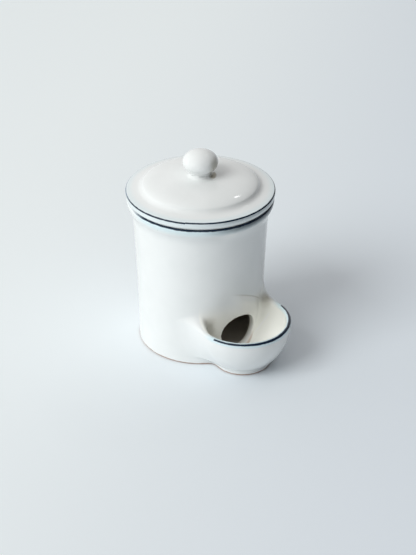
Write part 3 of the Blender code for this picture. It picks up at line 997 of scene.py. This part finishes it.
def body_material(settings, groups):
    """Glaze of the jar and cup: lines on both rims, clay at the foot and at the hole's edge."""
    crease_strength = 0.35
    clay_roughness = 0.7

    look, jar, cup = settings.glaze, settings.jar, settings.cup
    material, tree, shader, glaze = glaze_material("body_glaze", groups, look)
    place = object_place(tree)
    x, y, z = split(place)
    from_jar, angle = around(x, y)
    from_cup, cup_angle = around(x, y + cup.axis)
    lit_under_ledge, crease_shade = ledge_marks(jar, cup, z, from_jar, angle)
    in_bowl = bowl_glaze_and_light(cup, z, from_cup, lit_under_ledge)
    in_jar = falling(from_jar, jar.foot_radius - jar.wall, jar.foot_radius - jar.wall / 3)

    # The bowl's warmer glaze, lighter as painted light, which also lies as painted light below the
    # ledge.
    base = mixed(in_bowl, colour(look.cool), colour(look.warm_and_lightened))
    # Painted highlight: a pale streak inside the bowl.
    base = mixed(painted_highlight_streak(settings, z, cup_angle, in_bowl), base, WHITE)
    # Olive pools with painted shade in the corners by the cup's ears.
    base = mixed(corner_pools_and_shade(settings, place, from_cup), base, colour(look.pool))
    # Painted shade along the arc at the luting's upper edge.
    base = mixed(crease_shade * crease_strength, base, colour(look.pool))
    # The jar's inside is darker and browner.
    send(mixed(in_jar, base, colour(look.inside)), glaze.inputs["Glaze"])

    base = mixed(cobalt_speck(settings, place), Signal(glaze.outputs["Color"]), colour(look.line))
    base = cup_line(groups, settings, rim_line_and_gap_shade(groups, settings, base))
    bare = bare_clay(settings, place, z, from_jar)
    send(mixed(bare, base, colour(look.clay)), shader.inputs["Base Color"])
    smooth = Signal(glaze.outputs["Roughness"])
    send(reckon("MULTIPLY_ADD", bare, clay_roughness, smooth, clamp=True), shader.inputs["Roughness"])
    return material


def knob_pools_and_shade(lid, place):
    """Painted shade on the knob's shaded side: round its neck, where glaze also pooled, and on the
    ball.
    """
    pool_begins_toward, pool_whole_toward = 0.78, 0.97
    ball_shade_strength = 0.75

    x, y, z = split(place)
    from_axis, angle = around(x, y)
    top = lid.seat + lid.dome_top
    flow = lid.neck_flow
    near = falling(abs(from_axis - (lid.neck_radius + flow / 2)), flow / 4, flow * 0.7)
    level = falling(abs(z - top), flow / 3, flow * 0.7)
    side = rising(reckon("COSINE", angle - lid.neck_pool_shade_side), pool_begins_toward, pool_whole_toward)
    # Painted shade on the ball's shaded side.
    spot = Vector((0, 0, top + lid.knob_middle))
    spot += facing(lid.shade_spot_side, lid.shade_spot_height) * lid.knob_radius
    away = compared("DISTANCE", place, spot)
    ball = fade(away, lid.knob_radius * 0.1, lid.knob_radius * 0.7, ball_shade_strength, 0)
    return reckon("MAXIMUM", near * level * side, ball)


def lid_material(settings, groups):
    """Glaze of the lid and knob, with a brushed line round the flange's edge."""
    look, lid = settings.glaze, settings.lid
    material, tree, shader, glaze = glaze_material("lid_glaze", groups, look)
    # Pooled glaze and painted shade round the knob's neck, and painted shade on the ball.
    pools = knob_pools_and_shade(lid, object_place(tree))
    send(mixed(pools, colour(look.cool), colour(look.pool)), glaze.inputs["Glaze"])
    lined = lid_line(groups, settings, Signal(glaze.outputs["Color"]))
    send(lined, shader.inputs["Base Color"])
    send(Signal(glaze.outputs["Roughness"]), shader.inputs["Roughness"])
    return material


def glaze_groups():
    """The node groups that both glazes share, made once."""
    makers = {"brushed_line": brushed_line_group, "fired_glaze": fired_glaze_group}
    return {name: bpy.data.node_groups.get(name) or make() for name, make in makers.items()}


def place_skin(mesh, material, body, slot, *nodes):
    """Put a skin in the scene, on its body, in place of the parts that it stands for."""
    piece = bpy.data.objects.new(mesh.name, mesh)
    bpy.context.scene.collection.objects.link(piece)
    mesh.materials.clear()
    mesh.materials.append(material)
    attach(piece, body)
    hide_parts(*nodes)
    return piece


# Stage

PAPER_ROUGHNESS = 0.9
FLOOR_FACETS = 96
FLOOR_RADIUS = 6
SENSOR_MILLIMETRES = 36
NEAREST_SEEN = 0.01
FARTHEST_SEEN = 50


def facing(azimuth, elevation):
    """The direction from the salt cellar to something that stands round and above it."""
    level = math.cos(elevation)
    return Vector((math.sin(azimuth) * level, -math.cos(azimuth) * level, math.sin(elevation)))


def aimed(back, location):
    """A placement whose own -Z looks against a direction, with its Y up."""
    right = Vector((0, 0, 1)).cross(back).normalized()
    matrix = Matrix((right, back.cross(right), back)).transposed().to_4x4()
    matrix.translation = location
    return matrix


def floor_material(stage):
    """Matt pale paper with painted light that falls off slowly from one side to the other."""
    material = bpy.data.materials.new("floor_paper")
    material.use_nodes = True
    tree = material.node_tree
    shader = tree.nodes["Principled BSDF"]
    along = compared("DOT_PRODUCT", object_place(tree), facing(stage.floor_azimuth, 0))
    # Painted light: the floor is lighter on one side and darker on the other.
    drift = rising(along, -stage.floor_falloff_width / 2, stage.floor_falloff_width / 2)
    send(mixed(drift, colour(stage.floor_far), colour(stage.floor)), shader.inputs["Base Color"])
    shader.inputs["Roughness"].default_value = PAPER_ROUGHNESS
    shader.inputs["Specular IOR Level"].default_value = 0
    return material


def add_floor(stage):
    """A wide round floor under the salt cellar."""
    bpy.ops.mesh.primitive_circle_add(vertices=FLOOR_FACETS, radius=FLOOR_RADIUS, fill_type="NGON",
                                      location=(0, 0, 0))
    floor = bpy.context.object
    floor.name = "floor"
    floor.data.materials.append(floor_material(stage))


def add_lamp(name, azimuth, elevation, distance, size, power, shade=(1, 1, 1), mirrored=True):
    """A square lamp that faces the salt cellar; one that isn't mirrored leaves no highlight."""
    lamp = bpy.data.lights.new(name, "AREA")
    lamp.shape = "SQUARE"
    lamp.color = shade
    lamp.size = size
    lamp.energy = power
    holder = bpy.data.objects.new(name, lamp)
    bpy.context.scene.collection.objects.link(holder)
    direction = facing(azimuth, elevation)
    holder.matrix_world = aimed(direction, direction * distance)
    holder.visible_glossy = mirrored


def light_sky(stage):
    """Soft light from all round, dimmer on one side."""
    dims_toward, dimmest_toward = -0.4, 0.95
    world = bpy.data.worlds.new("studio")
    bpy.context.scene.world = world
    world.use_nodes = True
    tree = world.node_tree
    background = tree.nodes["Background"]
    background.inputs["Color"].default_value = colour(stage.sky)
    direction = Signal(add_node(tree, "ShaderNodeTexCoord").outputs["Generated"])
    side = compared("DOT_PRODUCT", direction, facing(stage.dim_azimuth, stage.dim_elevation))
    strength = fade(side, dims_toward, dimmest_toward, stage.sky_bright, stage.sky_dim)
    send(strength, background.inputs["Strength"])


def add_camera(stage):
    """The camera at the photograph's angle."""
    camera = bpy.data.cameras.new("camera")
    holder = bpy.data.objects.new("camera", camera)
    bpy.context.scene.collection.objects.link(holder)
    back = facing(stage.camera_azimuth, stage.camera_elevation)
    placed = aimed(back, Vector((0, 0, 0)))
    right, up = placed.col[0].to_3d(), placed.col[1].to_3d()
    aside = right * stage.camera_right
    placed.translation = back * stage.camera_distance + aside + up * stage.camera_up
    holder.matrix_world = placed
    camera.sensor_fit = "AUTO"
    camera.sensor_width = SENSOR_MILLIMETRES
    camera.lens = camera.sensor_width * stage.camera_distance / stage.camera_view
    camera.clip_start = NEAREST_SEEN
    camera.clip_end = FARTHEST_SEEN
    bpy.context.scene.camera = holder


class SALT_CELLAR_OT_body(bpy.types.Operator):
    """Make the jar and its luted cup as one glazed body"""

    bl_idname = "salt_cellar.body"
    bl_label = "Jar and cup"

    def execute(self, context):
        settings = context.scene.salt_cellar
        material = body_material(settings, glaze_groups())
        place_skin(body_skin(settings), material, "jar", "jar_glaze", "jar", "cup")
        return {"FINISHED"}


class SALT_CELLAR_OT_lid(bpy.types.Operator):
    """Make the lid and its knob as one glazed body"""

    bl_idname = "salt_cellar.lid"
    bl_label = "Lid and knob"

    def execute(self, context):
        settings = context.scene.salt_cellar
        material = lid_material(settings, glaze_groups())
        place_skin(lid_skin(settings), material, "lid", "lid_glaze", "lid", "knob")
        return {"FINISHED"}


class SALT_CELLAR_OT_stage(bpy.types.Operator):
    """Set the pale floor, the light and the camera"""

    bl_idname = "salt_cellar.stage"
    bl_label = "Stage"

    def execute(self, context):
        stage = context.scene.salt_cellar.stage
        context.scene.view_settings.view_transform = "Standard"
        add_floor(stage)
        light_sky(stage)
        add_lamp("key", stage.key_azimuth, stage.key_elevation, stage.key_distance, stage.key_size,
                 stage.key_power, stage.key_tint, mirrored=False)
        add_lamp("spark", stage.spark_azimuth, stage.spark_elevation, stage.spark_distance,
                 stage.spark_size, stage.spark_power)
        add_camera(stage)
        return {"FINISHED"}


class SALT_CELLAR_PT_panel(bpy.types.Panel):
    """The steps and sizes of the salt cellar"""

    bl_idname = "SALT_CELLAR_PT_panel"
    bl_label = "Salt cellar"
    bl_space_type = "VIEW_3D"
    bl_region_type = "UI"
    bl_category = "Salt cellar"

    def draw(self, context):
        settings = context.scene.salt_cellar
        layout = self.layout
        for step in STEPS:
            layout.operator(step.bl_idname)
        for part in (settings.jar, settings.cup, settings.lid, settings.glaze, settings.stage):
            box = layout.box()
            box.label(text=part.bl_rna.description)
            for key in part.__annotations__:
                box.prop(part, key)


STEPS = (SALT_CELLAR_OT_body, SALT_CELLAR_OT_lid, SALT_CELLAR_OT_stage)
CLASSES = (JarSizes, CupSizes, LidSizes, GlazeLook, StageLook, SaltCellar, *STEPS, SALT_CELLAR_PT_panel)


def register():
    """Add the classes and the settings to Blender."""
    for item in CLASSES:
        bpy.utils.register_class(item)
    bpy.types.Scene.salt_cellar = PointerProperty(type=SaltCellar)


def unregister():
    """Take the settings and the classes out again."""
    del bpy.types.Scene.salt_cellar
    for item in reversed(CLASSES):
        bpy.utils.unregister_class(item)


def main():
    """Make the salt cellar and its stage."""
    register()
    bpy.ops.salt_cellar.body()
    bpy.ops.salt_cellar.lid()
    bpy.ops.salt_cellar.stage()


if __name__ == "__main__":
    main()
